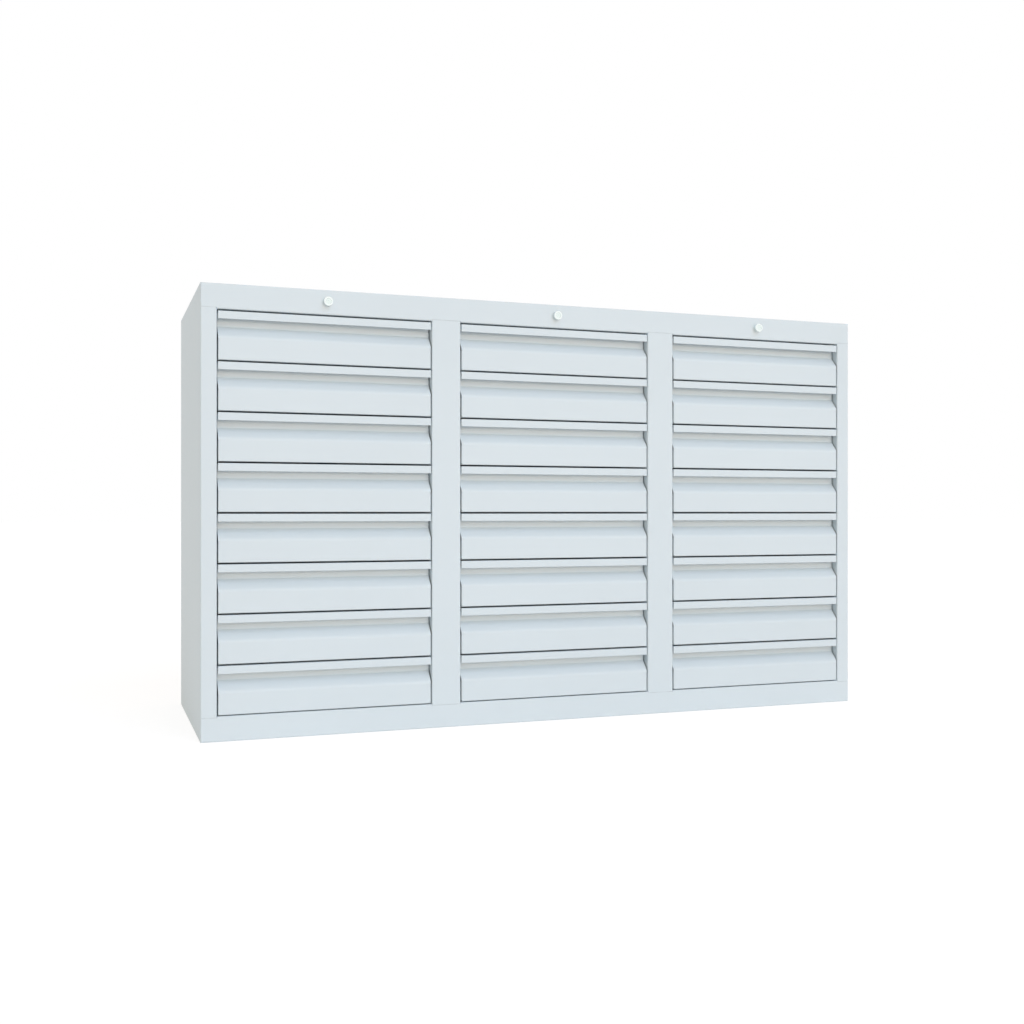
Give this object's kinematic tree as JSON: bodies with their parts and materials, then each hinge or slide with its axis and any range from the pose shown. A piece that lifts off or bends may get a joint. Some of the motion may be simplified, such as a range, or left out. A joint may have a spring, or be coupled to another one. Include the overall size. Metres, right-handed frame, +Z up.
{
  "type": "parts bin cabinet",
  "caption": "Low sheet-steel parts cabinet with columns of shallow sliding drawers, finger-recess fronts and a cylinder lock over each column.",
  "frame": {"origin": "centre of the base, on the surface that the cabinet stands on", "axes": "+Z up, -Y towards the front with the drawers, +X to the right as seen from the front"},
  "size_m": [1.2, 0.4085, 0.72],
  "materials": {
    "carcass_paint": "light grey powder coat, fine texture, semi-matt",
    "drawer_paint": "light grey powder coat, fine texture, semi-matt",
    "zinc_steel": "galvanised or zinc-plated sheet steel, dull",
    "nylon": "natural nylon, smooth",
    "lock_chrome": "satin chrome plate on die-cast zinc",
    "lock_nickel": "nickel-plated brass"
  },
  "bodies": {
    "carcass": {"left_side_panel": "carcass_paint", "right_side_panel": "carcass_paint", "left_partition": "carcass_paint", "right_partition": "carcass_paint", "top_panel": "carcass_paint", "bottom_panel": "carcass_paint", "back_panel": "carcass_paint", "back_rivets": "zinc_steel", "lock_nuts": "zinc_steel", "bar_guides": "zinc_steel", "left_runners": "zinc_steel", "left_glides": "nylon", "left_lock_housing": "lock_chrome", "middle_runners": "zinc_steel", "middle_glides": "nylon", "middle_lock_housing": "lock_chrome", "right_runners": "zinc_steel", "right_glides": "nylon", "right_lock_housing": "lock_chrome"},
    "left_lock": {"left_lock_plug": "lock_nickel", "left_lock_cam": "zinc_steel", "left_cam_screw": "zinc_steel"},
    "left_bar": {"left_lock_bar": "zinc_steel", "left_bolt_pins": "zinc_steel"},
    "left_drawer_1": {"left_drawer_1": "drawer_paint"},
    "left_drawer_2": {"left_drawer_2": "drawer_paint"},
    "left_drawer_3": {"left_drawer_3": "drawer_paint"},
    "left_drawer_4": {"left_drawer_4": "drawer_paint"},
    "left_drawer_5": {"left_drawer_5": "drawer_paint"},
    "left_drawer_6": {"left_drawer_6": "drawer_paint"},
    "left_drawer_7": {"left_drawer_7": "drawer_paint"},
    "left_drawer_8": {"left_drawer_8": "drawer_paint"},
    "middle_lock": {"middle_lock_plug": "lock_nickel", "middle_lock_cam": "zinc_steel", "middle_cam_screw": "zinc_steel"},
    "middle_bar": {"middle_lock_bar": "zinc_steel", "middle_bolt_pins": "zinc_steel"},
    "middle_drawer_1": {"middle_drawer_1": "drawer_paint"},
    "middle_drawer_2": {"middle_drawer_2": "drawer_paint"},
    "middle_drawer_3": {"middle_drawer_3": "drawer_paint"},
    "middle_drawer_4": {"middle_drawer_4": "drawer_paint"},
    "middle_drawer_5": {"middle_drawer_5": "drawer_paint"},
    "middle_drawer_6": {"middle_drawer_6": "drawer_paint"},
    "middle_drawer_7": {"middle_drawer_7": "drawer_paint"},
    "middle_drawer_8": {"middle_drawer_8": "drawer_paint"},
    "right_lock": {"right_lock_plug": "lock_nickel", "right_lock_cam": "zinc_steel", "right_cam_screw": "zinc_steel"},
    "right_bar": {"right_lock_bar": "zinc_steel", "right_bolt_pins": "zinc_steel"},
    "right_drawer_1": {"right_drawer_1": "drawer_paint"},
    "right_drawer_2": {"right_drawer_2": "drawer_paint"},
    "right_drawer_3": {"right_drawer_3": "drawer_paint"},
    "right_drawer_4": {"right_drawer_4": "drawer_paint"},
    "right_drawer_5": {"right_drawer_5": "drawer_paint"},
    "right_drawer_6": {"right_drawer_6": "drawer_paint"},
    "right_drawer_7": {"right_drawer_7": "drawer_paint"},
    "right_drawer_8": {"right_drawer_8": "drawer_paint"}
  },
  "joints": [
    {"name": "left_lock_turn", "type": "hinge", "parent": "carcass", "child": "left_lock", "pos_m": [-0.4, -0.2, 0.701], "axis": [0, 1, 0], "range_deg": [0, 90]},
    {"name": "left_bar_drop", "type": "slide", "parent": "carcass", "child": "left_bar", "axis": [0, 0, -1], "range_m": [0, 0.0099]},
    {"name": "left_drawer_1_slide", "type": "slide", "parent": "carcass", "child": "left_drawer_1", "axis": [0, -1, 0], "range_m": [0, 0.29]},
    {"name": "left_drawer_2_slide", "type": "slide", "parent": "carcass", "child": "left_drawer_2", "axis": [0, -1, 0], "range_m": [0, 0.29]},
    {"name": "left_drawer_3_slide", "type": "slide", "parent": "carcass", "child": "left_drawer_3", "axis": [0, -1, 0], "range_m": [0, 0.29]},
    {"name": "left_drawer_4_slide", "type": "slide", "parent": "carcass", "child": "left_drawer_4", "axis": [0, -1, 0], "range_m": [0, 0.29]},
    {"name": "left_drawer_5_slide", "type": "slide", "parent": "carcass", "child": "left_drawer_5", "axis": [0, -1, 0], "range_m": [0, 0.29]},
    {"name": "left_drawer_6_slide", "type": "slide", "parent": "carcass", "child": "left_drawer_6", "axis": [0, -1, 0], "range_m": [0, 0.29]},
    {"name": "left_drawer_7_slide", "type": "slide", "parent": "carcass", "child": "left_drawer_7", "axis": [0, -1, 0], "range_m": [0, 0.29]},
    {"name": "left_drawer_8_slide", "type": "slide", "parent": "carcass", "child": "left_drawer_8", "axis": [0, -1, 0], "range_m": [0, 0.29]},
    {"name": "middle_lock_turn", "type": "hinge", "parent": "carcass", "child": "middle_lock", "pos_m": [0, -0.2, 0.701], "axis": [0, 1, 0], "range_deg": [0, 90]},
    {"name": "middle_bar_drop", "type": "slide", "parent": "carcass", "child": "middle_bar", "axis": [0, 0, -1], "range_m": [0, 0.0099]},
    {"name": "middle_drawer_1_slide", "type": "slide", "parent": "carcass", "child": "middle_drawer_1", "axis": [0, -1, 0], "range_m": [0, 0.29]},
    {"name": "middle_drawer_2_slide", "type": "slide", "parent": "carcass", "child": "middle_drawer_2", "axis": [0, -1, 0], "range_m": [0, 0.29]},
    {"name": "middle_drawer_3_slide", "type": "slide", "parent": "carcass", "child": "middle_drawer_3", "axis": [0, -1, 0], "range_m": [0, 0.29]},
    {"name": "middle_drawer_4_slide", "type": "slide", "parent": "carcass", "child": "middle_drawer_4", "axis": [0, -1, 0], "range_m": [0, 0.29]},
    {"name": "middle_drawer_5_slide", "type": "slide", "parent": "carcass", "child": "middle_drawer_5", "axis": [0, -1, 0], "range_m": [0, 0.29]},
    {"name": "middle_drawer_6_slide", "type": "slide", "parent": "carcass", "child": "middle_drawer_6", "axis": [0, -1, 0], "range_m": [0, 0.29]},
    {"name": "middle_drawer_7_slide", "type": "slide", "parent": "carcass", "child": "middle_drawer_7", "axis": [0, -1, 0], "range_m": [0, 0.29]},
    {"name": "middle_drawer_8_slide", "type": "slide", "parent": "carcass", "child": "middle_drawer_8", "axis": [0, -1, 0], "range_m": [0, 0.29]},
    {"name": "right_lock_turn", "type": "hinge", "parent": "carcass", "child": "right_lock", "pos_m": [0.4, -0.2, 0.701], "axis": [0, 1, 0], "range_deg": [0, 90]},
    {"name": "right_bar_drop", "type": "slide", "parent": "carcass", "child": "right_bar", "axis": [0, 0, -1], "range_m": [0, 0.0099]},
    {"name": "right_drawer_1_slide", "type": "slide", "parent": "carcass", "child": "right_drawer_1", "axis": [0, -1, 0], "range_m": [0, 0.29]},
    {"name": "right_drawer_2_slide", "type": "slide", "parent": "carcass", "child": "right_drawer_2", "axis": [0, -1, 0], "range_m": [0, 0.29]},
    {"name": "right_drawer_3_slide", "type": "slide", "parent": "carcass", "child": "right_drawer_3", "axis": [0, -1, 0], "range_m": [0, 0.29]},
    {"name": "right_drawer_4_slide", "type": "slide", "parent": "carcass", "child": "right_drawer_4", "axis": [0, -1, 0], "range_m": [0, 0.29]},
    {"name": "right_drawer_5_slide", "type": "slide", "parent": "carcass", "child": "right_drawer_5", "axis": [0, -1, 0], "range_m": [0, 0.29]},
    {"name": "right_drawer_6_slide", "type": "slide", "parent": "carcass", "child": "right_drawer_6", "axis": [0, -1, 0], "range_m": [0, 0.29]},
    {"name": "right_drawer_7_slide", "type": "slide", "parent": "carcass", "child": "right_drawer_7", "axis": [0, -1, 0], "range_m": [0, 0.29]},
    {"name": "right_drawer_8_slide", "type": "slide", "parent": "carcass", "child": "right_drawer_8", "axis": [0, -1, 0], "range_m": [0, 0.29]}
  ],
  "couplings": [
    {"joint": "left_lock_turn", "follows": "left_bar_drop", "rad_per_m": 158.66},
    {"joint": "middle_lock_turn", "follows": "middle_bar_drop", "rad_per_m": 158.66},
    {"joint": "right_lock_turn", "follows": "right_bar_drop", "rad_per_m": 158.66}
  ]
}
